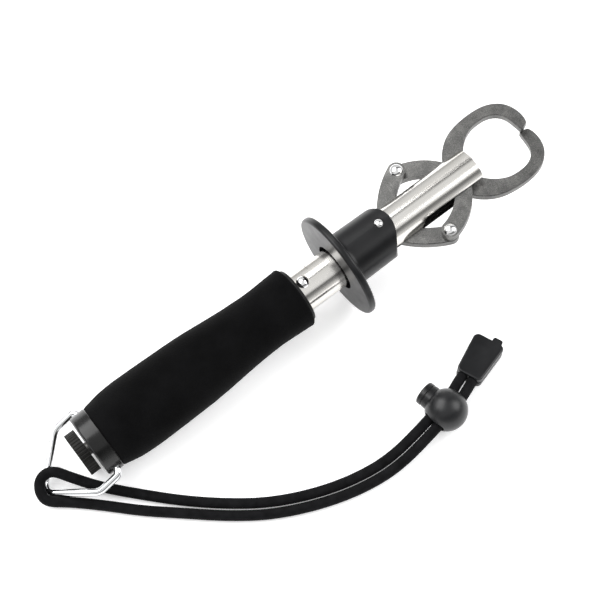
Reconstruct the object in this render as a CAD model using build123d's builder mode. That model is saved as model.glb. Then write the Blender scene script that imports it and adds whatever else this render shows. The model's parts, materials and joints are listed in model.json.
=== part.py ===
"""Lip grip: scissor jaws on a sliding barrel, with a thumb trigger, a foam grip,
a spring scale, a wire bail and a wrist lanyard.

Every piece of the tool is drawn along the tool's own axis: +X runs to the jaws, x = 0 is the
front end of the barrel, and the jaws open in the XY plane. LAY then puts the tool on the table:
it lies on the trigger's flange and on the grip, so its nose points up a few degrees.
The lanyard is drawn in the finished frame, because it lies on the table, z = 0.
Millimetres.
"""
from build123d import *
from math import asin, atan, cos, degrees, pi, radians, sin, sqrt, tan
import os

# ---- driving dimensions -------------------------------------------------------------------
TUBE_R = 9.5            # barrel, outside
BORE_R = 8.0            # barrel, inside
TUBE_BACK = -135.0      # rear end of the barrel, inside the handle
RING_L = 6.5            # length of the guide ring and plug at that end
RUN = 0.07              # radial clearance of a running fit

PLATE = 3.8             # thickness of a jaw or link plate
GAP = 0.1               # half the gap between the two layers of plates
EDGE = 0.3              # chamfer around a plate
PIVOT_X = -7.5          # front pivot, carried by the plunger
LINK_X = -48.6          # rear pivot, fixed in the barrel
SLOT_BACK_X = 31.0      # centre of the side slots' rounded end, behind the front end
RIVET_X = -28.1         # side rivets, where the jaws meet the links
RIVET_Y = 19.3
PIVOT_R = 2.0
LINK_PIN_R = 1.7
RIVET_R = 2.0
RIVET_PLAY = 0.4        # radial play of the rivets in the jaws
ARM_W = 7.9             # width of the jaws' rear arms
LINK_W = 8.2
STROKE = 12.0           # travel of the trigger

COLLAR_R = 12.9         # trigger collar
COLLAR_NOSE = -47.4     # front of the collar's tongue
COLLAR_BACK = -78.6
TONGUE_R = 16.2         # rounding of the tongue, seen from above
FLANGE_R = 25.6
FLANGE_T = 3.5
TRIGGER_PIN_X = -53.2
TRIGGER_PIN_R = 1.7
STOP_X = -95.9          # stop pin in the top of the barrel
STOP_SEAT = 9.0
STRAP_IN = GAP + PLATE + 0.15   # inner face of the plunger's straps

HANDLE_FRONT = -99.2    # front face of the bushing
FOAM_FRONT = -100.6
FOAM_BACK = -205.0
CORE_R = 11.5           # handle's core tube, outside
CORE_BORE = 10.4
GRIP_R = 17.2           # grip at its fattest
REST_X = -195.5         # where the grip touches the table, and its radius there
REST_R = 16.75
CAP_R = 15.2
CAP_BACK = -212.7
KNOB_R = 10.3
KNOB_FRONT = -213.8
KNOB_BACK = -218.7
SCREW_R = 3.0

BAIL_X = -208.5         # bail pivot
BAIL_WIRE = 3.4
BAIL_HALF = 17.8        # half width of the bail, to the middle of the wire
BAIL_SHOULDER = 12.5    # where the legs turn inwards
BAIL_TIP = 33.6         # corner of the tip
BAIL_DROP = 20.5        # degrees below the tool's axis

CORD_D = 4.8
LOCK_R = 9.5
LOCK_AT = Vector(24.4, -78.7, LOCK_R)
LOCK_TURN = 12.0        # heading of the cord through the lock, degrees from +X
BUTTON_R = 5.5
END_AT = Vector(42.0, -72.1, 6.7)   # middle of the mouth of the cord end
END_TURN = 22.0
END_DIP = 8.0

# ---- where the tool lies --------------------------------------------------------------------
FLANGE_X = COLLAR_BACK + FLANGE_T / 2
TILT = degrees(atan((FLANGE_R - REST_R) / (FLANGE_X - REST_X)))
LIFT = FLANGE_R * cos(radians(TILT)) - FLANGE_X * sin(radians(TILT)) + 0.02
NOSE = 101.8            # x of the barrel's front end in the finished frame
LAY = Location((NOSE, 0, LIFT), (0, -TILT, 0))

# The two layers of plates. The lower one is the upper one turned half round the X axis.
UPPER = Plane.XY.offset(GAP)
LOWER = Plane((0, 0, -GAP), x_dir=(1, 0, 0), z_dir=(0, 0, -1))

pieces = {}


def keep(name, part, lay=True):
    """Store a finished piece under its node name, laid on the table."""
    placed = part.moved(LAY) if lay else part
    placed.label = name
    pieces[name] = placed


def disc(front, back, radius, bore=0.0):
    """A disc or tube on the tool's axis."""
    with BuildPart() as ring:
        with BuildSketch(Plane.YZ.offset(back)):
            Circle(radius)
            if bore:
                Circle(bore, mode=Mode.SUBTRACT)
        extrude(amount=front - back)
    return ring.part


def dome(head_r, rise, seat):
    """The points of a spherical head: its rim, a point half way up, and its top."""
    ball = (head_r**2 + rise**2) / (2 * rise)
    half = asin(head_r / ball) / 2
    return (head_r, seat), (ball * sin(half), seat + rise - ball + ball * cos(half)), (0, seat + rise)


def headed_pin(shank_r, head_r, rise, seat, foot, lower_head=False):
    """A pin along Z with a domed head on its seat, and with a second head below if asked."""
    rim, mid, top = dome(head_r, rise, seat)
    with BuildPart() as pin:
        with BuildSketch(Plane.XZ):
            with BuildLine():
                Line((0, foot), top)
                ThreePointArc(top, mid, rim)
                if lower_head:
                    low_rim, low_mid, low_top = [(r, -z) for r, z in dome(head_r, rise, -foot)]
                    Polyline(rim, (shank_r, seat), (shank_r, foot), low_rim)
                    ThreePointArc(low_rim, low_mid, low_top)
                    Line(low_top, (0, foot))
                else:
                    Polyline(rim, (shank_r, seat), (shank_r, foot), (0, foot))
            make_face()
        revolve(axis=Axis.Z)
    return pin.part


def coil(start, end, radius, wire, turns):
    """A helical spring on the tool's axis."""
    length = end - start
    with BuildPart() as spring:
        with BuildLine() as path:
            Helix(pitch=length / turns, height=length, radius=radius, center=(start, 0, 0), direction=(1, 0, 0))
        with BuildSketch(Plane(origin=path.line @ 0, z_dir=path.line % 0)):
            Circle(wire / 2)
        sweep(is_frenet=True)
    return spring.part


# ---- barrel -----------------------------------------------------------------------------------
SLOT_HALF = GAP + PLATE + 0.5
with BuildPart() as barrel_tube:
    with BuildSketch(Plane.YZ.offset(TUBE_BACK)):
        Circle(TUBE_R)
        Circle(BORE_R, mode=Mode.SUBTRACT)
    extrude(amount=-TUBE_BACK)
    # Side slots for the jaws, open at the front.
    with BuildSketch(Plane.XZ):
        with Locations((-SLOT_BACK_X / 2, 0)):
            Rectangle(SLOT_BACK_X, 2 * SLOT_HALF)
        with Locations((-SLOT_BACK_X, 0)):
            Circle(SLOT_HALF)
    extrude(amount=12, both=True, mode=Mode.SUBTRACT)
    # The links leave the barrel further back, each in its own layer.
    for layer in (1, -1):
        with BuildSketch(Plane.XZ):
            with Locations((-42.3, layer * (SLOT_HALF - 0.4) / 2)):
                SlotOverall(20.6, SLOT_HALF + 0.4)
        extrude(amount=-12 * layer, mode=Mode.SUBTRACT)
    # Slots above and below for the trigger's pins, and holes for the fixed pins.
    with BuildSketch(Plane.XY):
        with Locations((TRIGGER_PIN_X - STROKE / 2, 0)):
            SlotOverall(STROKE + 2 * TRIGGER_PIN_R + 0.4, 2 * TRIGGER_PIN_R + 0.3)
        with Locations((LINK_X, 0)):
            Circle(LINK_PIN_R)
    extrude(amount=12, both=True, mode=Mode.SUBTRACT)
    with BuildSketch(Plane.XY):
        with Locations((STOP_X, 0)):
            Circle(1.5)
    extrude(amount=12, mode=Mode.SUBTRACT)
    with BuildSketch(Plane.XY.offset(STOP_SEAT)):
        with Locations((STOP_X, 0)):
            Circle(3.02)
    extrude(amount=2, mode=Mode.SUBTRACT)
    # Engraved scale: one tick in the open, the rest drawn out of the handle by a load.
    ticks = [-90.4] + [-100.6 - 1.5 * i for i in range(10)]
    side = radians(58)
    with Locations(*[Location((x, TUBE_R * cos(side), TUBE_R * sin(side)), (-32, 0, 0)) for x in ticks]):
        Box(0.4, 3.4, 0.5, mode=Mode.SUBTRACT)
keep("barrel_tube", barrel_tube.part)

keep("stop_pin", headed_pin(1.5, 3.0, 1.9, STOP_SEAT, 7.4).moved(Location((STOP_X, 0, 0))))
keep("spring_seat", disc(-88.0, -90.0, BORE_R, 2.5))
keep("guide_ring", disc(TUBE_BACK + RING_L, TUBE_BACK, CORE_BORE - RUN, TUBE_R))

with BuildPart() as barrel_plug:
    with BuildSketch(Plane.YZ.offset(TUBE_BACK)):
        Circle(BORE_R)
    extrude(amount=RING_L)
    with BuildSketch(Plane.YZ.offset(TUBE_BACK)):
        Circle(5.6)
    extrude(amount=-5)
keep("barrel_plug", barrel_plug.part)

with BuildPart() as rear_link_pin:
    with BuildSketch(Plane.XY.offset(-9.2)):
        with Locations((LINK_X, 0)):
            Circle(LINK_PIN_R)
    extrude(amount=18.4)
keep("rear_link_pin", rear_link_pin.part)

# ---- trigger ----------------------------------------------------------------------------------
TRIGGER_SEAT = sqrt(COLLAR_R**2 - 2.2**2) - 0.5
with BuildPart() as trigger_collar:
    with BuildSketch(Plane.XZ) as half:
        with BuildLine():
            Polyline(
                (COLLAR_BACK, 11.4),
                (COLLAR_BACK, FLANGE_R),
                (COLLAR_BACK + FLANGE_T, FLANGE_R),
                (COLLAR_BACK + FLANGE_T, COLLAR_R),
                (COLLAR_NOSE, COLLAR_R - 0.4),
                (COLLAR_NOSE, TUBE_R + RUN),
                (COLLAR_BACK + 3, TUBE_R + RUN),
                (COLLAR_BACK + 3, 11.4),
                close=True,
            )
        make_face()
        corners = half.vertices()
        fillet(corners.group_by(Axis.Y)[-1], 1.2)
        fillet(half.vertices().sort_by_distance((COLLAR_BACK + FLANGE_T, COLLAR_R))[0], 4.0)
    revolve(axis=Axis.X)
    # The front is rounded as seen from above, which leaves the sides free for the links.
    with BuildSketch(Plane.XY):
        with Locations((COLLAR_NOSE - TONGUE_R, 0)):
            Circle(TONGUE_R)
        with Locations((COLLAR_NOSE - TONGUE_R - 25, 0)):
            Rectangle(50, 2 * FLANGE_R + 2)
    extrude(amount=FLANGE_R + 1, both=True, mode=Mode.INTERSECT)
    with BuildSketch(Plane.XY):
        with Locations((TRIGGER_PIN_X, 0)):
            Circle(TRIGGER_PIN_R)
    extrude(amount=15, both=True, mode=Mode.SUBTRACT)
    # Each pin's head sits in a shallow seat.
    for turn in (0, 180):
        with BuildSketch(Plane.XY.rotated((turn, 0, 0)).offset(TRIGGER_SEAT)):
            with Locations((TRIGGER_PIN_X, 0)):
                Circle(2.23)
        extrude(amount=2, mode=Mode.SUBTRACT)
keep("trigger_collar", trigger_collar.part)

with BuildPart() as plunger:
    with BuildSketch(Plane.YZ.offset(-66.0)):
        Circle(BORE_R - RUN)
    extrude(amount=64)
    with BuildSketch(Plane.YZ.offset(-66.0)):
        Circle(4.2)
    extrude(amount=-4)
    with Locations((-29, 0, 0)):
        Box(54, 20, 2 * STRAP_IN, mode=Mode.SUBTRACT)
    with BuildSketch(Plane.XY):
        with Locations((PIVOT_X, 0)):
            Circle(PIVOT_R)
        with Locations((LINK_X + STROKE / 2, 0)):
            SlotOverall(STROKE + 2 * LINK_PIN_R + 0.5, 2 * LINK_PIN_R + 0.5)
        with Locations((TRIGGER_PIN_X, 0)):
            Circle(TRIGGER_PIN_R)
    extrude(amount=10, both=True, mode=Mode.SUBTRACT)
keep("plunger", plunger.part)

for name, turn in (("trigger_pin_top", 0), ("trigger_pin_bottom", 180)):
    pin = headed_pin(TRIGGER_PIN_R, 2.2, 1.3, TRIGGER_SEAT, STRAP_IN + 0.2)
    keep(name, pin.moved(Location((TRIGGER_PIN_X, 0, 0), (turn, 0, 0))))

with BuildPart() as front_pivot_pin:
    with BuildSketch(Plane.XY.offset(-7.6)):
        with Locations((PIVOT_X, 0)):
            Circle(PIVOT_R)
    extrude(amount=15.2)
keep("front_pivot_pin", front_pivot_pin.part)

keep("trigger_spring", coil(-87.4, -66.6, 5.6, 1.0, 7))


# ---- jaws and links ---------------------------------------------------------------------------
def jaw(layer):
    """One jaw plate: a bowed rear arm, the boss of the pivot, and a hook on the other side."""
    arm = Edge.make_three_point_arc((PIVOT_X, 0), (-16.0, -13.4), (RIVET_X, -RIVET_Y))
    outside = [
        (-10.8, 4.5),
        (-8.6, 10.4),
        (-4.5, 14.9),
        (1.5, 18.6),
        (9.0, 20.4),
        (17.0, 20.7),
        (25.0, 19.2),
        (31.0, 14.9),
        (33.9, 8.0),
        (33.9, 3.0),
    ]
    inside = [
        (28.9, -0.9),
        (28.4, 2.8),
        (26.4, 10.6),
        (22.5, 13.8),
        (16.5, 14.9),
        (10.5, 14.1),
        (5.2, 11.2),
        (1.0, 6.8),
        (-1.6, 0.0),
    ]
    with BuildPart() as plate:
        with BuildSketch(layer) as outline:
            with BuildLine():
                outer = Spline(*outside)
                inner = Spline(*inside)
                Polyline(outer @ 1, (33.2, 0.6), inner @ 0)
                Polyline(inner @ 1, (PIVOT_X, -3), outer @ 0)
            make_face()
            fillet(outline.vertices().sort_by_distance((33.2, 0.6))[0], 1.2)
            fillet(outline.vertices().sort_by_distance((28.9, -0.9))[0], 0.8)
            SlotArc(arm, ARM_W)
            with Locations((PIVOT_X, 0)):
                Circle(6.4)
        extrude(amount=PLATE)
        rims = plate.faces().filter_by(Axis.Z).edges().filter_by(GeomType.BSPLINE)
        chamfer(rims.filter_by(lambda e: e.length > 8), EDGE)
        with BuildSketch(layer):
            with Locations((PIVOT_X, 0)):
                Circle(PIVOT_R + 0.05)
            with Locations((RIVET_X, -RIVET_Y)):
                Circle(RIVET_R + RIVET_PLAY)
        extrude(amount=PLATE, mode=Mode.SUBTRACT)
    return plate.part


def link(layer):
    """One link plate, from the rear pin to its side rivet."""
    bow = Edge.make_three_point_arc((LINK_X, 0), (-40.0, 11.2), (RIVET_X, RIVET_Y))
    with BuildPart() as plate:
        with BuildSketch(layer):
            SlotArc(bow, LINK_W)
        extrude(amount=PLATE)
        chamfer([e for f in plate.faces().filter_by(Axis.Z) for e in f.outer_wire().edges()], EDGE)
        with BuildSketch(layer):
            with Locations((LINK_X, 0)):
                Circle(LINK_PIN_R + 0.05)
            with Locations((RIVET_X, RIVET_Y)):
                Circle(RIVET_R)
        extrude(amount=PLATE, mode=Mode.SUBTRACT)
    return plate.part


keep("jaw_upper", jaw(UPPER))
keep("jaw_lower", jaw(LOWER))
keep("link_upper", link(UPPER))
keep("link_lower", link(LOWER))
HEAD_SEAT = GAP + PLATE + 0.05
for name, y in (("rivet_left", RIVET_Y), ("rivet_right", -RIVET_Y)):
    rivet = headed_pin(RIVET_R, 3.1, 1.7, HEAD_SEAT, -HEAD_SEAT, lower_head=True)
    keep(name, rivet.moved(Location((RIVET_X, y, 0))))

# ---- handle -----------------------------------------------------------------------------------
keep("core_tube", disc(FOAM_FRONT, FOAM_BACK, CORE_R, CORE_BORE))

with BuildPart() as front_bushing:
    with BuildSketch(Plane.XZ) as half:
        with BuildLine():
            Polyline(
                (HANDLE_FRONT, TUBE_R + RUN),
                (HANDLE_FRONT, 13.1),
                (FOAM_FRONT, 13.1),
                (FOAM_FRONT, CORE_BORE),
                (FOAM_FRONT - 9, CORE_BORE),
                (FOAM_FRONT - 9, TUBE_R + RUN),
                close=True,
            )
        make_face()
        fillet(half.vertices().sort_by_distance((HANDLE_FRONT, 13.1))[0], 0.8)
    revolve(axis=Axis.X)
keep("front_bushing", front_bushing.part)

with BuildPart() as foam_grip:
    with BuildSketch(Plane.XZ) as half:
        with BuildLine():
            back = Line((FOAM_BACK, CORE_R), (FOAM_BACK, 15.1))
            skin = Spline(
                back @ 1,
                (REST_X, REST_R),
                (-183.0, GRIP_R),
                (-157.0, 16.6),
                (-134.0, 14.8),
                (-119.0, 14.2),
                (-107.0, 14.7),
                (FOAM_FRONT, 15.0),
            )
            Polyline(skin @ 1, (FOAM_FRONT, CORE_R), (FOAM_BACK, CORE_R))
        make_face()
        fillet(half.vertices().sort_by_distance((FOAM_FRONT, 15.0))[0], 1.6)
    revolve(axis=Axis.X)
keep("foam_grip", foam_grip.part)

with BuildPart() as rear_cap:
    with BuildSketch(Plane.XZ) as half:
        with BuildLine():
            Polyline(
                (FOAM_BACK, CORE_BORE),
                (FOAM_BACK, CAP_R),
                (CAP_BACK, CAP_R - 0.4),
                (CAP_BACK, SCREW_R + RUN),
                (FOAM_BACK + 9, SCREW_R + RUN),
                (FOAM_BACK + 9, CORE_BORE),
                close=True,
            )
        make_face()
        fillet(half.vertices().sort_by_distance((CAP_BACK, CAP_R))[0], 1.0)
        chamfer(half.vertices().sort_by_distance((FOAM_BACK, CAP_R))[0], 0.5)
    revolve(axis=Axis.X)
    # Blind holes in the sides hold the ends of the bail.
    for outwards in (1, -1):
        with BuildSketch(Plane.XZ.offset(10.6 * outwards)):
            with Locations((BAIL_X, 0)):
                Circle(BAIL_WIRE / 2 + 0.06)
        extrude(amount=8 * outwards, mode=Mode.SUBTRACT)
keep("rear_cap", rear_cap.part)

# ---- zero adjuster and scale spring -------------------------------------------------------------
with BuildPart() as adjust_screw:
    with BuildSketch(Plane.YZ.offset(KNOB_BACK + 1.2)):
        Circle(SCREW_R)
    extrude(amount=-186.0 - KNOB_BACK - 1.2)
    fillet(adjust_screw.edges().sort_by(Axis.X)[-1], 0.6)
keep("adjust_screw", adjust_screw.part)

keep("spring_anchor", disc(-190.6, -194.4, CORE_BORE - 1.2, SCREW_R + RUN))

with BuildPart() as zero_knob:
    with BuildSketch(Plane.YZ.offset(KNOB_BACK)):
        Circle(KNOB_R)
        with PolarLocations(KNOB_R + 0.1, 40):
            Circle(0.42, mode=Mode.SUBTRACT)
    extrude(amount=KNOB_FRONT - KNOB_BACK)
    with BuildSketch(Plane.YZ.offset(KNOB_BACK + 1.2)):
        Circle(SCREW_R)
    extrude(amount=KNOB_FRONT - KNOB_BACK, mode=Mode.SUBTRACT)
keep("zero_knob", zero_knob.part)

keep("scale_spring", coil(-189.8, TUBE_BACK - 0.8, 7.4, 1.5, 14))

# ---- bail -----------------------------------------------------------------------------------------
HANG = Plane(origin=(BAIL_X, 0, 0), x_dir=(-cos(radians(BAIL_DROP)), 0, -sin(radians(BAIL_DROP))),
             z_dir=(sin(radians(BAIL_DROP)), 0, -cos(radians(BAIL_DROP))))
with BuildPart() as bail:
    with BuildLine(HANG) as wire_path:
        FilletPolyline(
            (0, 11.0),
            (0, BAIL_HALF),
            (BAIL_SHOULDER, BAIL_HALF),
            (BAIL_TIP, 0),
            (BAIL_SHOULDER, -BAIL_HALF),
            (0, -BAIL_HALF),
            (0, -11.0),
            radius=[2.6, 7.0, 4.5, 7.0, 2.6],
        )
    with BuildSketch(Plane(origin=wire_path.line @ 0, z_dir=wire_path.line % 0)):
        Circle(BAIL_WIRE / 2)
    sweep()
keep("bail", bail.part)

# ---- lanyard -----------------------------------------------------------------------------------------
# From the cord end through the lock, along the table to the bail, over its tip, down through it,
# under its leg, and back beside the first strand into the cord end.
route = [
    (48.5, -72.2, 5.9),
    (40.5, -75.3, 7.0),
    (31.7, -79.2, 9.4),
    (14.1, -82.9, 9.5),
    (-7.5, -85.0, 2.9),
    (-26.9, -82.7, 2.5),
    (-45.3, -77.1, 2.45),
    (-63.6, -68.5, 2.45),
    (-79.0, -57.5, 2.45),
    (-93.9, -44.4, 2.45),
    (-106.9, -33.2, 2.45),
    (-118.8, -20.9, 2.45),
    (-130.2, -10.2, 2.5),
    (-138.0, -5.2, 4.6),
    (-137.7, 0.4, 6.8),
    (-134.1, 4.4, 8.0),
    (-128.3, 4.0, 8.2),
    (-123.6, -3.0, 6.8),
    (-115.6, -13.2, 3.3),
    (-103.0, -26.9, 2.45),
    (-90.0, -40.6, 2.6),
    (-75.8, -53.4, 3.3),
    (-61.2, -64.0, 3.4),
    (-43.7, -72.4, 3.4),
    (-26.0, -77.8, 3.4),
    (-7.4, -79.9, 3.2),
    (13.0, -78.1, 9.5),
    (30.6, -74.3, 9.4),
    (38.8, -70.4, 7.0),
    (46.6, -67.6, 5.9),
]


def arc_radii(points):
    """The radius of the arc at each inner point: as large as its two runs allow."""
    radii = []
    for before, at, after in zip(points, points[1:], points[2:]):
        first = Vector(*at) - Vector(*before)
        second = Vector(*after) - Vector(*at)
        turn = radians(first.get_angle(second))
        radii.append(0.45 * min(first.length, second.length) / tan(turn / 2))
    return radii


radii = arc_radii(route)
print("cord radii", [round(r, 1) for r in radii])
with BuildPart() as lanyard_cord:
    with BuildLine() as cord_path:
        FilletPolyline(*route, radius=radii)
    with BuildSketch(Plane(origin=cord_path.line @ 0, z_dir=cord_path.line % 0)):
        Circle(CORD_D / 2)
    sweep()
cord_length = cord_path.wires()[0].length
section = pi * CORD_D**2 / 4
print("cord length", round(cord_length, 1), "volume ratio", round(lanyard_cord.part.volume / (cord_length * section), 4))
keep("lanyard_cord", lanyard_cord.part, lay=False)

# Cord lock: a ball with a button across the cord. Local x is the button's axis, local y is up.
along = Vector(cos(radians(LOCK_TURN)), sin(radians(LOCK_TURN)), 0)
across = Vector(-along.Y, along.X, 0)
THROUGH = Plane(origin=LOCK_AT, x_dir=across, z_dir=along)
PUSH = Plane(origin=LOCK_AT, x_dir=along, z_dir=across)
BUTTON_SIDE = Plane(origin=LOCK_AT, x_dir=along, z_dir=(0, 0, -1))   # y along the button
BORE_FLOOR = -6.9
BUTTON_FLOOR = -5.4
BUTTON_TOP = 13.2

with BuildPart() as cord_lock_body:
    with BuildSketch(BUTTON_SIDE):
        with BuildLine():
            CenterArc((0, 0), LOCK_R, -90, 180)
            Line((0, -LOCK_R), (0, LOCK_R))
        make_face()
    revolve(axis=Axis(LOCK_AT, across))
    with BuildSketch(PUSH.offset(BORE_FLOOR)):
        Circle(BUTTON_R + RUN)
    extrude(amount=20, mode=Mode.SUBTRACT)
    with BuildSketch(PUSH.offset(-8.6)):
        Circle(2.6)
    extrude(amount=3, mode=Mode.SUBTRACT)
    with BuildSketch(THROUGH):
        with Locations((0.5, 0)):
            SlotOverall(11.0, 6.2)
    extrude(amount=LOCK_R + 1, both=True, mode=Mode.SUBTRACT)
keep("cord_lock_body", cord_lock_body.part, lay=False)

with BuildPart() as cord_lock_button:
    with BuildSketch(PUSH.offset(BUTTON_FLOOR)):
        Circle(BUTTON_R)
    extrude(amount=BUTTON_TOP - BUTTON_FLOOR)
    rims = cord_lock_button.edges().filter_by(GeomType.CIRCLE)
    fillet(rims.sort_by_distance(LOCK_AT + across * BUTTON_TOP)[0], 1.0)
    # A groove round the neck of the button.
    with BuildSketch(PUSH.offset(10.0)):
        Circle(BUTTON_R + 0.5)
        Circle(BUTTON_R - 0.7, mode=Mode.SUBTRACT)
    extrude(amount=0.8, mode=Mode.SUBTRACT)
    with BuildSketch(THROUGH):
        with Locations((1.15, 0)):
            SlotOverall(12.4, 6.2)
    extrude(amount=BUTTON_R + 1, both=True, mode=Mode.SUBTRACT)
keep("cord_lock_button", cord_lock_button.part, lay=False)

with BuildPart() as cord_lock_spring:
    spring_start = LOCK_AT + across * -8.3
    with BuildLine() as path:
        Helix(pitch=0.95, height=2.6, radius=1.9, center=spring_start, direction=across)
    with BuildSketch(Plane(origin=path.line @ 0, z_dir=path.line % 0)):
        Circle(0.25)
    sweep(is_frenet=True)
keep("cord_lock_spring", cord_lock_spring.part, lay=False)

# Cord end: two shells around the ends of the cord. Local x runs from the mouth to the tab.
heading = Vector(
    cos(radians(END_TURN)) * cos(radians(END_DIP)),
    sin(radians(END_TURN)) * cos(radians(END_DIP)),
    -sin(radians(END_DIP)),
)
upwards = heading.cross(Vector(-sin(radians(END_TURN)), cos(radians(END_TURN)), 0))
END_L = 22.0
END_W = 15.2
MOUTH_W = 12.0
END_T = 3.4
STRAND_HALF = 2.45      # half the distance between the two ends of the cord
for name, facing in (("cord_end_cover", 1), ("cord_end_base", -1)):
    face = Plane(origin=END_AT, x_dir=heading, z_dir=upwards * facing)
    with BuildPart() as shell:
        with BuildSketch(face.offset(0.02)) as outline:
            Polygon((0, -MOUTH_W / 2), (END_L, -END_W / 2), (END_L, END_W / 2), (0, MOUTH_W / 2), align=None)
            fillet(outline.vertices(), 2.6)
            with Locations((END_L, -3.2 * facing)):
                RectangleRounded(3.6, 4.6, 1.0)
        extrude(amount=END_T)
        fillet(shell.faces().sort_by_distance(END_AT + upwards * facing * 20)[0].edges(), 0.8)
        # A recess with curved ribs, inside a raised rim.
        with BuildSketch(face.offset(END_T)) as recess:
            Polygon((7.6, -4.7), (END_L - 2.0, -5.6), (END_L - 2.0, 5.6), (7.6, 4.7), align=None)
            fillet(recess.vertices(), 1.6)
            for x in (11.6, 14.3, 17.0):
                SlotArc(Edge.make_three_point_arc((x, -3.9), (x + 1.0, 0), (x, 3.9)), 1.3, mode=Mode.SUBTRACT)
        extrude(amount=-0.9, mode=Mode.SUBTRACT)
        for side in (-STRAND_HALF, STRAND_HALF):
            socket = Plane(origin=END_AT + heading * 6.2, x_dir=upwards, z_dir=heading)
            with BuildSketch(socket.shift_origin(socket.from_local_coords((0, side, 0)))):
                Circle(CORD_D / 2 + 0.2)
            extrude(amount=-7.4, mode=Mode.SUBTRACT)
    keep(name, shell.part, lay=False)

# ---- write ---------------------------------------------------------------------------------------------
os.makedirs("parts", exist_ok=True)
for name, part in pieces.items():
    export_step(part, "parts/" + name + ".step")
print("tilt", round(TILT, 3), "lift", round(LIFT, 3), "pieces", len(pieces))
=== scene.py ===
"""Looks of the lip grip: camera, materials, lanyard, foam grip, springs, light and floor.

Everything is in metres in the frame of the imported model. The tool lies on the table on its flange
and grip, so its own axis points a few degrees up: AXIS runs along it to the jaws, LIFT is square to
it, and at(x, y, z) turns millimetres on the tool's own axes into the frame.
"""
import json
import math

import bmesh
import bpy
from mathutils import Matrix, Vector, noise


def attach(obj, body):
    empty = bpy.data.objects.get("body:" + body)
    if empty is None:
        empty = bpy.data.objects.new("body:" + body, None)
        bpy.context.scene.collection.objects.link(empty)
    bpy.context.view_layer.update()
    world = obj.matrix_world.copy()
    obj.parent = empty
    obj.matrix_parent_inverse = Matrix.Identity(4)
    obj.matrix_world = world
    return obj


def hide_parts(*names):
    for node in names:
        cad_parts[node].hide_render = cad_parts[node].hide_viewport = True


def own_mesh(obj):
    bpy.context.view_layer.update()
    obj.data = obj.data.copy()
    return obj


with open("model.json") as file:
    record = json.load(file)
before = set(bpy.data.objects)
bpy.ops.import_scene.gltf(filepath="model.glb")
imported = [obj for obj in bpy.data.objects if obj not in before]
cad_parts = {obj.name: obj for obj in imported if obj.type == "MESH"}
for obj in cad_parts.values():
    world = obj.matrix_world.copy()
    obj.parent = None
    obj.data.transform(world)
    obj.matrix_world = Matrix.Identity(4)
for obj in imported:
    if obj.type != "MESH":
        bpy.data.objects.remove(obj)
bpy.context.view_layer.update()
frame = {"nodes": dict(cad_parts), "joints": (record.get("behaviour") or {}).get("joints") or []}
NODES = frame["nodes"]
JOINTS = {joint["name"]: joint for joint in frame["joints"]}
MM = 0.001

# ---- the tool's own axes ----------------------------------------------------------------------
AXIS = Vector(JOINTS["barrel_scale_slide"]["axis"]).normalized()
LIFT = Vector(JOINTS["link_upper_pivot"]["axis"]).normalized()
SIDE = Vector((0, 1, 0))
LINK_PIN_X = -48.6
NOSE = Vector(JOINTS["link_upper_pivot"]["pos_m"]) - AXIS * LINK_PIN_X * MM


def at(x, y, z):
    """A point given in millimetres on the tool's own axes."""
    return NOSE + (AXIS * x + SIDE * y + LIFT * z) * MM


# ---- camera -----------------------------------------------------------------------------------
def make_camera():
    data = bpy.data.cameras.new("camera")
    camera = bpy.data.objects.new("camera", data)
    bpy.context.scene.collection.objects.link(camera)
    camera.location = (-0.1670, -0.2471, 0.6454)
    camera.rotation_euler = [math.radians(a) for a in (25.524, 1.174, -37.097)]
    data.lens = 93.24
    data.sensor_width = 36.0
    data.clip_start = 0.01
    data.clip_end = 20.0
    bpy.context.scene.camera = camera


make_camera()

# ---- node helpers -----------------------------------------------------------------------------


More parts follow.
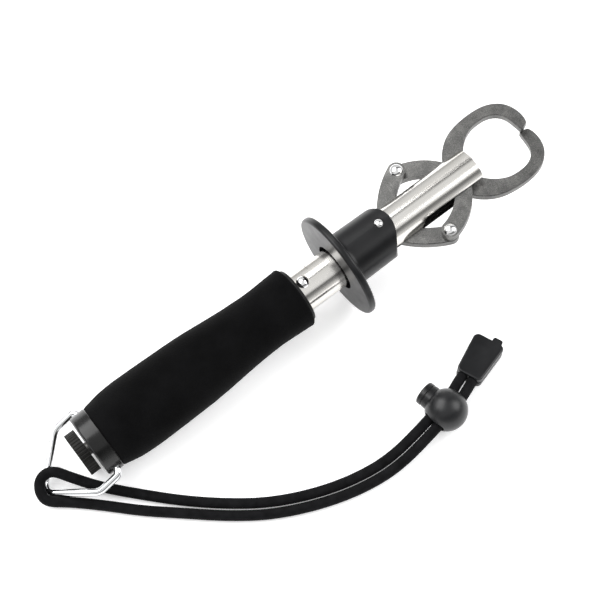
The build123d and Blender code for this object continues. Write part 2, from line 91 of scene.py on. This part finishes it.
class Paint:
    """A material's node tree, with short calls for the nodes used here."""

    def __init__(self, name):
        self.material = bpy.data.materials.new(name)
        self.material.use_nodes = True
        self.tree = self.material.node_tree
        self.shader = self.tree.nodes["Principled BSDF"]

    def node(self, kind, **values):
        made = self.tree.nodes.new(kind)
        for key, value in values.items():
            setattr(made, key, value)
        return made

    def join(self, out, into):
        self.tree.links.new(out, into)

    def set(self, **values):
        """Set the shader's own sockets, such as Roughness=0.4."""
        for key, value in values.items():
            self.shader.inputs[key.replace("_", " ")].default_value = value

    def place(self, scale=(1, 1, 1), tool=False):
        """Object coordinates in metres, along the tool's own axes if asked."""
        coords = self.node("ShaderNodeTexCoord")
        mapping = self.node("ShaderNodeMapping")
        if tool:
            turn = self.node("ShaderNodeMapping")
            turn.inputs["Rotation"].default_value = (0, math.asin(AXIS.z), 0)
            self.join(coords.outputs["Object"], turn.inputs["Vector"])
            self.join(turn.outputs["Vector"], mapping.inputs["Vector"])
        else:
            self.join(coords.outputs["Object"], mapping.inputs["Vector"])
        mapping.inputs["Scale"].default_value = scale
        return mapping.outputs["Vector"]

    def noise(self, vector, scale, detail=3.0, rough=0.55, distort=0.0):
        made = self.node("ShaderNodeTexNoise")
        made.inputs["Scale"].default_value = scale
        made.inputs["Detail"].default_value = detail
        made.inputs["Roughness"].default_value = rough
        made.inputs["Distortion"].default_value = distort
        self.join(vector, made.inputs["Vector"])
        return made.outputs["Fac"]

    def cells(self, vector, scale):
        made = self.node("ShaderNodeTexVoronoi")
        made.inputs["Scale"].default_value = scale
        self.join(vector, made.inputs["Vector"])
        return made.outputs["Distance"]

    def ramp(self, fac, *stops):
        """A colour ramp; each stop is (place, value or colour)."""
        made = self.node("ShaderNodeValToRGB")
        elements = made.color_ramp.elements
        while len(elements) < len(stops):
            elements.new(0.5)
        for element, (place, value) in zip(elements, stops):
            element.position = place
            colour = value if hasattr(value, "__len__") else (value, value, value)
            element.color = (*colour[:3], 1)
        self.join(fac, made.inputs["Fac"])
        return made.outputs["Color"]

    def maths(self, operation, a, b):
        made = self.node("ShaderNodeMath", operation=operation)
        for socket, value in zip(made.inputs, (a, b)):
            if isinstance(value, (int, float)):
                socket.default_value = value
            else:
                self.join(value, socket)
        return made.outputs[0]

    def colour(self, out):
        self.join(out, self.shader.inputs["Base Color"])

    def roughness(self, out):
        self.join(out, self.shader.inputs["Roughness"])

    def bump(self, height, strength, distance):
        """Stack a bump on the shader's normal; distance is in metres."""
        made = self.node("ShaderNodeBump")
        made.inputs["Strength"].default_value = strength
        made.inputs["Distance"].default_value = distance
        self.join(height, made.inputs["Height"])
        socket = self.shader.inputs["Normal"]
        if socket.is_linked:
            self.join(socket.links[0].from_socket, made.inputs["Normal"])
        self.join(made.outputs["Normal"], socket)


# ---- materials --------------------------------------------------------------------------------
def tube_steel():
    """Polished stainless with fine lengthwise streaks and a little warmth."""
    p = Paint("tube_steel")
    p.set(Metallic=1.0)
    streaks = p.noise(p.place((6, 900, 900), tool=True), 1.0, 4.0, 0.6)
    broad = p.noise(p.place((14, 60, 60), tool=True), 1.0, 3.0)
    p.colour(p.ramp(broad, (0.3, (0.62, 0.60, 0.56)), (0.7, (0.80, 0.79, 0.77))))
    p.roughness(p.ramp(streaks, (0.25, 0.12), (0.75, 0.24)))
    p.bump(streaks, 0.10, 0.00005)
    return p.material


def plate_steel():
    """Tumbled steel plate: mid grey, finely speckled, with a faint mottle."""
    p = Paint("plate_steel")
    p.set(Metallic=1.0)
    grain = p.noise(p.place(), 2600, 3.0, 0.7)
    mottle = p.noise(p.place(), 120, 4.0, 0.6)
    both = p.maths("ADD", p.maths("MULTIPLY", grain, 0.6), p.maths("MULTIPLY", mottle, 0.4))
    dark = (0.06, 0.06, 0.06)
    middle = (0.14, 0.139, 0.135)
    light = (0.30, 0.297, 0.285)
    p.colour(p.ramp(both, (0.32, dark), (0.5, middle), (0.68, light)))
    p.roughness(p.ramp(grain, (0.3, 0.30), (0.7, 0.46)))
    p.bump(grain, 0.35, 0.00006)
    return p.material


def bright_steel(name="bright_steel", base=(0.80, 0.80, 0.80), rough=(0.06, 0.16)):
    """Polished pins, rivets and wire, with faint scuffs."""
    p = Paint(name)
    p.set(Metallic=1.0)
    scuffs = p.noise(p.place((1, 1, 3)), 700, 4.0, 0.7, 0.6)
    cloud = p.noise(p.place(), 90, 2.0)
    p.colour(p.ramp(cloud, (0.3, tuple(0.88 * c for c in base)), (0.7, base)))
    p.roughness(p.ramp(scuffs, (0.45, rough[0]), (0.75, rough[1])))
    p.bump(scuffs, 0.05, 0.00003)
    return p.material


def black_plastic(name, base, rough, grain=1500, depth=0.00004, tint=(1, 1, 1), spec=0.28):
    """Moulded black plastic with a fine moulded grain and slight wear in its gloss."""
    p = Paint(name)
    p.set(IOR=1.49, Specular_IOR_Level=spec)
    fine = p.noise(p.place(), grain, 3.0, 0.6)
    cloud = p.noise(p.place(), 70, 3.0)
    low = tuple(0.75 * base * c for c in tint)
    high = tuple(1.5 * base * c for c in tint)
    p.colour(p.ramp(cloud, (0.3, low), (0.75, high)))
    p.roughness(p.ramp(cloud, (0.3, rough[0]), (0.7, rough[1])))
    p.bump(fine, 0.30, depth)
    return p.material


def foam_black():
    """Closed-cell foam rubber: deep black, dry and velvety, with fine open pores."""
    p = Paint("foam_black")
    p.set(Roughness=0.95, IOR=1.35, Specular_IOR_Level=0.10)
    p.set(Sheen_Weight=0.03, Sheen_Roughness=0.45)
    pores = p.cells(p.place(), 1500)
    fuzz = p.noise(p.place(), 2600, 4.0, 0.75)
    patches = p.noise(p.place(), 55, 4.0, 0.6)
    p.colour(p.ramp(patches, (0.3, (0.0012, 0.0012, 0.0013)), (0.72, (0.0038, 0.0038, 0.0041))))
    p.bump(pores, 0.55, 0.00012)
    p.bump(fuzz, 0.45, 0.00008)
    return p.material


def cord_black():
    """Braided nylon: black yarn with a soft sheen and fine fibres."""
    p = Paint("cord_black")
    p.set(Roughness=0.85, IOR=1.45, Specular_IOR_Level=0.12)
    p.set(Sheen_Weight=0.04, Sheen_Roughness=0.4)
    fibres = p.noise(p.place((1, 1, 1)), 5200, 3.0, 0.7)
    lint = p.noise(p.place(), 260, 3.0, 0.6)
    p.colour(p.ramp(lint, (0.3, (0.0022, 0.0022, 0.0025)), (0.8, (0.008, 0.008, 0.009))))
    p.bump(fibres, 0.6, 0.00009)
    return p.material


def plain_metal(name, base, rough):
    p = Paint(name)
    p.set(Metallic=1.0)
    turned = p.noise(p.place((900, 30, 30), tool=True), 1.0, 2.0)
    p.colour(p.ramp(turned, (0.3, tuple(0.8 * c for c in base)), (0.7, base)))
    p.roughness(p.ramp(turned, (0.3, rough), (0.7, rough + 0.12)))
    return p.material


def floor_white():
    p = Paint("floor_white")
    p.set(Roughness=0.75, IOR=1.3, Emission_Color=(1, 1, 1, 1), Emission_Strength=0.32)
    paper = p.noise(p.place(), 14, 2.0)
    p.colour(p.ramp(paper, (0.2, (0.90, 0.90, 0.905)), (0.8, (0.93, 0.93, 0.93))))
    return p.material


TUBE = tube_steel()
PLATE = plate_steel()
PIN = bright_steel("bright_pin")
WIRE = bright_steel("bail_wire", (0.78, 0.79, 0.80), (0.05, 0.12))
SPRING = bright_steel("spring_wire", (0.55, 0.55, 0.56), (0.2, 0.3))
COLLAR = black_plastic("collar_plastic", 0.004, (0.28, 0.40), tint=(0.9, 0.95, 1.1))
CAP = black_plastic("cap_plastic", 0.003, (0.16, 0.30), 900, 0.00002, spec=0.35)
KNOB = black_plastic("knob_plastic", 0.006, (0.42, 0.55), tint=(1.1, 1.05, 0.9), spec=0.2)
HARDWARE = black_plastic(
    "lanyard_plastic", 0.005, (0.26, 0.38), 1100, 0.00003, tint=(0.9, 0.95, 1.1), spec=0.40
)
ACETAL = black_plastic("acetal", 0.006, (0.40, 0.50), spec=0.2)
FOAM = foam_black()
CORD = cord_black()
ALLOY = plain_metal("alloy_core", (0.60, 0.60, 0.60), 0.35)
BRASS = plain_metal("brass_nut", (0.72, 0.58, 0.30), 0.3)

WEARS = {
    TUBE: ["barrel_tube"],
    PLATE: ["jaw_upper", "jaw_lower", "link_upper", "link_lower", "spring_seat", "adjust_screw"],
    PIN: [
        "stop_pin", "rear_link_pin", "trigger_pin_top", "trigger_pin_bottom",
        "front_pivot_pin", "rivet_left", "rivet_right",
    ],
    SPRING: ["trigger_spring", "scale_spring", "cord_lock_spring"],
    WIRE: ["bail"],
    COLLAR: ["trigger_collar"],
    CAP: ["rear_cap"],
    KNOB: ["zero_knob"],
    HARDWARE: ["cord_lock_body", "cord_lock_button", "cord_end_cover", "cord_end_base"],
    ACETAL: ["guide_ring", "barrel_plug", "plunger", "front_bushing"],
    ALLOY: ["core_tube"],
    BRASS: ["spring_anchor"],
}
for material, names in WEARS.items():
    for name in names:
        for slot in NODES[name].material_slots:
            slot.material = material

# ---- lanyard cord -----------------------------------------------------------------------------
# The route of the cord's solid, in metres, from the cord end round the bail and back.
ROUTE = [
    (0.0485, -0.0722, 0.0059),
    (0.0405, -0.0753, 0.007),
    (0.0317, -0.0792, 0.0094),
    (0.0141, -0.0829, 0.0095),
    (-0.0075, -0.085, 0.0029),
    (-0.0269, -0.0827, 0.0025),
    (-0.0453, -0.0771, 0.00245),
    (-0.0636, -0.0685, 0.00245),
    (-0.079, -0.0575, 0.00245),
    (-0.0939, -0.0444, 0.00245),
    (-0.1069, -0.0332, 0.00245),
    (-0.1188, -0.0209, 0.00245),
    (-0.1302, -0.0102, 0.0025),
    (-0.138, -0.0052, 0.0046),
    (-0.1377, 0.0004, 0.0068),
    (-0.1341, 0.0044, 0.008),
    (-0.1283, 0.004, 0.0082),
    (-0.1236, -0.003, 0.0068),
    (-0.1156, -0.0132, 0.0033),
    (-0.103, -0.0269, 0.00245),
    (-0.09, -0.0406, 0.0026),
    (-0.0758, -0.0534, 0.0033),
    (-0.0612, -0.064, 0.0034),
    (-0.0437, -0.0724, 0.0034),
    (-0.026, -0.0778, 0.0034),
    (-0.0074, -0.0799, 0.0032),
    (0.013, -0.0781, 0.0095),
    (0.0306, -0.0743, 0.0094),
    (0.0388, -0.0704, 0.007),
    (0.0466, -0.0676, 0.0059),
]
CORD_D = 0.0048
CORD_STEP = 0.00042     # length of one ring of the cord's mesh
CORD_SIDES = 40
BRAID_DEPTH = 0.00022


def cord_line():
    """The cord's own line: points along a NURBS spline on the route."""
    data = bpy.data.curves.new("lanyard_line", "CURVE")
    data.dimensions = "3D"
    data.resolution_u = 40
    spline = data.splines.new("NURBS")
    spline.points.add(len(ROUTE) - 1)
    for point, place in zip(spline.points, ROUTE):
        point.co = (*place, 1)
    spline.order_u = 3
    spline.use_endpoint_u = True
    line = bpy.data.objects.new("lanyard_line", data)
    bpy.context.scene.collection.objects.link(line)
    mesh = bpy.data.meshes.new_from_object(line)
    points = [v.co.copy() for v in mesh.vertices]
    bpy.data.objects.remove(line)
    bpy.data.meshes.remove(mesh)
    return points


def even_steps(points, step):
    """The same line, stepped evenly."""
    lengths = [0.0]
    for a, b in zip(points, points[1:]):
        lengths.append(lengths[-1] + (b - a).length)
    count = max(2, round(lengths[-1] / step))
    out = []
    i = 0
    for k in range(count + 1):
        want = lengths[-1] * k / count
        while i < len(points) - 2 and lengths[i + 1] < want:
            i += 1
        span = lengths[i + 1] - lengths[i]
        share = (want - lengths[i]) / span if span else 0
        out.append(points[i].lerp(points[i + 1], min(1, max(0, share))))
    return out, lengths[-1]


def braid(along, around, strands=16, pitch=0.0052):
    """Height of a plain braid, 0 to 1: two sets of strands wind opposite ways, over and under."""
    turns = strands / 2
    one = turns * (around + along / pitch)
    two = turns * (around - along / pitch)
    over = math.cos(math.pi * (round(one) + round(two))) > 0
    first = abs(math.cos(math.pi * one)) ** 0.5
    second = abs(math.cos(math.pi * two)) ** 0.5
    return max(first, 0.55 * second) if over else max(second, 0.55 * first)


def make_cord():
    line, length = even_steps(cord_line(), CORD_STEP)
    mesh = bmesh.new()
    rows = []
    up = Vector((0, 0, 1))
    count = len(line)
    for k, centre in enumerate(line):
        ahead = (line[min(k + 1, count - 1)] - line[max(k - 1, 0)]).normalized()
        across = ahead.cross(up).normalized()
        top = across.cross(ahead)
        along = length * k / (count - 1)
        row = []
        for j in range(CORD_SIDES):
            turn = 2 * math.pi * j / CORD_SIDES
            radius = CORD_D / 2 - BRAID_DEPTH * (1 - braid(along, j / CORD_SIDES))
            outward = across * math.cos(turn) + top * math.sin(turn)
            row.append(mesh.verts.new(centre + outward * radius))
        rows.append(row)
    for low, high in zip(rows, rows[1:]):
        for j in range(CORD_SIDES):
            n = (j + 1) % CORD_SIDES
            mesh.faces.new((low[j], low[n], high[n], high[j]))
    mesh.faces.new(list(reversed(rows[0])))
    mesh.faces.new(rows[-1])
    data = bpy.data.meshes.new("lanyard_braid")
    mesh.to_mesh(data)
    mesh.free()
    data.polygons.foreach_set("use_smooth", [True] * len(data.polygons))
    data.materials.append(CORD)
    cord = bpy.data.objects.new("lanyard_braid", data)
    bpy.context.scene.collection.objects.link(cord)
    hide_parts("lanyard_cord")
    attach(cord, "bail")


make_cord()


# ---- foam grip --------------------------------------------------------------------------------
# Millimetres along the tool's axis, and the radius there.
GRIP_SKIN = [
    (-205.0, 15.1),
    (-195.5, 16.75),
    (-183.0, 17.2),
    (-157.0, 16.6),
    (-134.0, 14.8),
    (-119.0, 14.2),
    (-107.0, 14.7),
    (-100.6, 15.0),
]
CORE_R = 11.6
GRIP_SIDES = 160
GRIP_STEPS = 150
FRONT_RIM = 1.6         # rounding of the two ends
BACK_RIM = 0.5


def smooth_radius(x):
    """The grip's radius at x, through the skin's points."""
    points = GRIP_SKIN
    for k in range(len(points) - 1):
        if x <= points[k + 1][0] or k == len(points) - 2:
            break
    (x0, r0), (x1, r1) = points[k], points[k + 1]

    def slope(i):
        a = points[max(i - 1, 0)]
        b = points[min(i + 1, len(points) - 1)]
        return (b[1] - a[1]) / (b[0] - a[0])

    span = x1 - x0
    t = min(1, max(0, (x - x0) / span))
    h = t * t * (3 - 2 * t)
    return r0 * (1 - h) + r1 * h + span * (slope(k) * t * (1 - t) ** 2 - slope(k + 1) * t * t * (1 - t))


def make_grip():
    """The foam sleeve, turned from its skin line, with soft rims and a slightly uneven surface."""
    front, back = GRIP_SKIN[-1][0], GRIP_SKIN[0][0]
    sections = [(front, CORE_R), (front, 13.2)]
    for k in range(7):
        a = math.radians(90 * k / 6)
        across = smooth_radius(front) - FRONT_RIM + FRONT_RIM * math.sin(a)
        sections.append((front - FRONT_RIM + FRONT_RIM * math.cos(a), across))
    for k in range(1, GRIP_STEPS):
        x = front - FRONT_RIM + (back + BACK_RIM - front + FRONT_RIM) * k / GRIP_STEPS
        sections.append((x, smooth_radius(x)))
    for k in range(4):
        a = math.radians(90 * k / 3)
        across = smooth_radius(back) - BACK_RIM + BACK_RIM * math.cos(a)
        sections.append((back + BACK_RIM - BACK_RIM * math.sin(a), across))
    sections += [(back, 13.0), (back, CORE_R)]
    mesh = bmesh.new()
    rows = []
    for x, radius in sections:
        row = []
        for j in range(GRIP_SIDES):
            turn = 2 * math.pi * j / GRIP_SIDES
            y, z = radius * math.cos(turn), radius * math.sin(turn)
            dent = noise.noise(Vector((x / 26, y / 15, z / 15)) + Vector((3.1, 0.7, 5.2)))
            fine = noise.noise(Vector((x / 5, y / 5, z / 5)))
            grow = (0.16 * dent + 0.05 * fine - 0.12) if radius > CORE_R + 1 else 0
            reach = radius + grow
            row.append(mesh.verts.new(at(x, reach * math.cos(turn), reach * math.sin(turn))))
        rows.append(row)
    rows.append(rows[0])
    for low, high in zip(rows, rows[1:]):
        for j in range(GRIP_SIDES):
            n = (j + 1) % GRIP_SIDES
            mesh.faces.new((low[j], high[j], high[n], low[n]))
    bmesh.ops.recalc_face_normals(mesh, faces=mesh.faces)
    data = bpy.data.meshes.new("grip_foam")
    mesh.to_mesh(data)
    mesh.free()
    data.polygons.foreach_set("use_smooth", [True] * len(data.polygons))
    data.materials.append(FOAM)
    grip = bpy.data.objects.new("grip_foam", data)
    bpy.context.scene.collection.objects.link(grip)
    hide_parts("foam_grip")
    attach(grip, "handle")


make_grip()


# ---- spring copies, moved onto their bodies ---------------------------------------------------
def shortening_coil(name, body):
    """A copy of a spring's mesh, put on the spring's body in place of the spring."""
    node = NODES[name]
    data = node.data.copy()
    data.transform(node.matrix_world)
    coil = bpy.data.objects.new(name.replace("_spring", "_coil"), data)
    bpy.context.scene.collection.objects.link(coil)
    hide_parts(name)
    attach(coil, body)
    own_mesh(coil)


shortening_coil("trigger_spring", "barrel")
shortening_coil("cord_lock_spring", "bail")


# ---- floor, light and sky ---------------------------------------------------------------------
def make_floor():
    data = bpy.data.meshes.new("floor")
    half = 3.0
    corners = [(-half, -half, 0), (half, -half, 0), (half, half, 0), (-half, half, 0)]
    data.from_pydata(corners, [], [(0, 1, 2, 3)])
    data.materials.append(floor_white())
    floor = bpy.data.objects.new("floor", data)
    bpy.context.scene.collection.objects.link(floor)


def softbox(name, place, aim, size, power, colour=(1, 1, 1)):
    data = bpy.data.lights.new(name, "AREA")
    data.shape = "RECTANGLE"
    data.size, data.size_y = size
    data.energy = power
    data.color = colour
    light = bpy.data.objects.new(name, data)
    light.location = place
    light.rotation_euler = (Vector(aim) - Vector(place)).to_track_quat("-Z", "Y").to_euler()
    bpy.context.scene.collection.objects.link(light)


def make_world():
    """A white studio with two dark strips along the tool, which draw the dark lines on its steel."""
    world = bpy.data.worlds.new("studio")
    world.use_nodes = True
    tree = world.node_tree
    coords = tree.nodes.new("ShaderNodeTexCoord")
    split = tree.nodes.new("ShaderNodeSeparateXYZ")
    angle = tree.nodes.new("ShaderNodeMath")
    angle.operation = "ARCTAN2"
    share = tree.nodes.new("ShaderNodeMath")
    share.operation = "DIVIDE"
    share.inputs[1].default_value = math.pi
    ramp = tree.nodes.new("ShaderNodeValToRGB")
    tree.links.new(coords.outputs["Generated"], split.inputs["Vector"])
    tree.links.new(split.outputs["Z"], angle.inputs[0])
    tree.links.new(split.outputs["Y"], angle.inputs[1])
    tree.links.new(angle.outputs[0], share.inputs[0])
    tree.links.new(share.outputs[0], ramp.inputs["Fac"])
    tree.links.new(ramp.outputs["Color"], tree.nodes["Background"].inputs["Color"])
    stops = [
        (0.00, 0.5),
        (0.14, 0.9),
        (0.30, 1.0),
        (0.34, 0.12),
        (0.42, 0.22),
        (0.47, 1.0),
        (0.75, 1.0),
        (0.80, 0.14),
        (0.88, 0.3),
        (0.96, 0.8),
    ]
    elements = ramp.color_ramp.elements
    while len(elements) < len(stops):
        elements.new(0.5)
    for element, (place, value) in zip(elements, stops):
        element.position = place
        element.color = (value, value, value, 1)
    tree.nodes["Background"].inputs["Strength"].default_value = 0.95
    bpy.context.scene.world = world


make_floor()
make_world()
softbox("key", (-0.35, 0.55, 1.0), (0, 0, 0), (1.2, 0.9), 16.0)
softbox("fill", (0.8, -0.5, 0.8), (0, 0, 0), (0.8, 0.8), 8.0)
bpy.context.scene.view_settings.view_transform = "Standard"
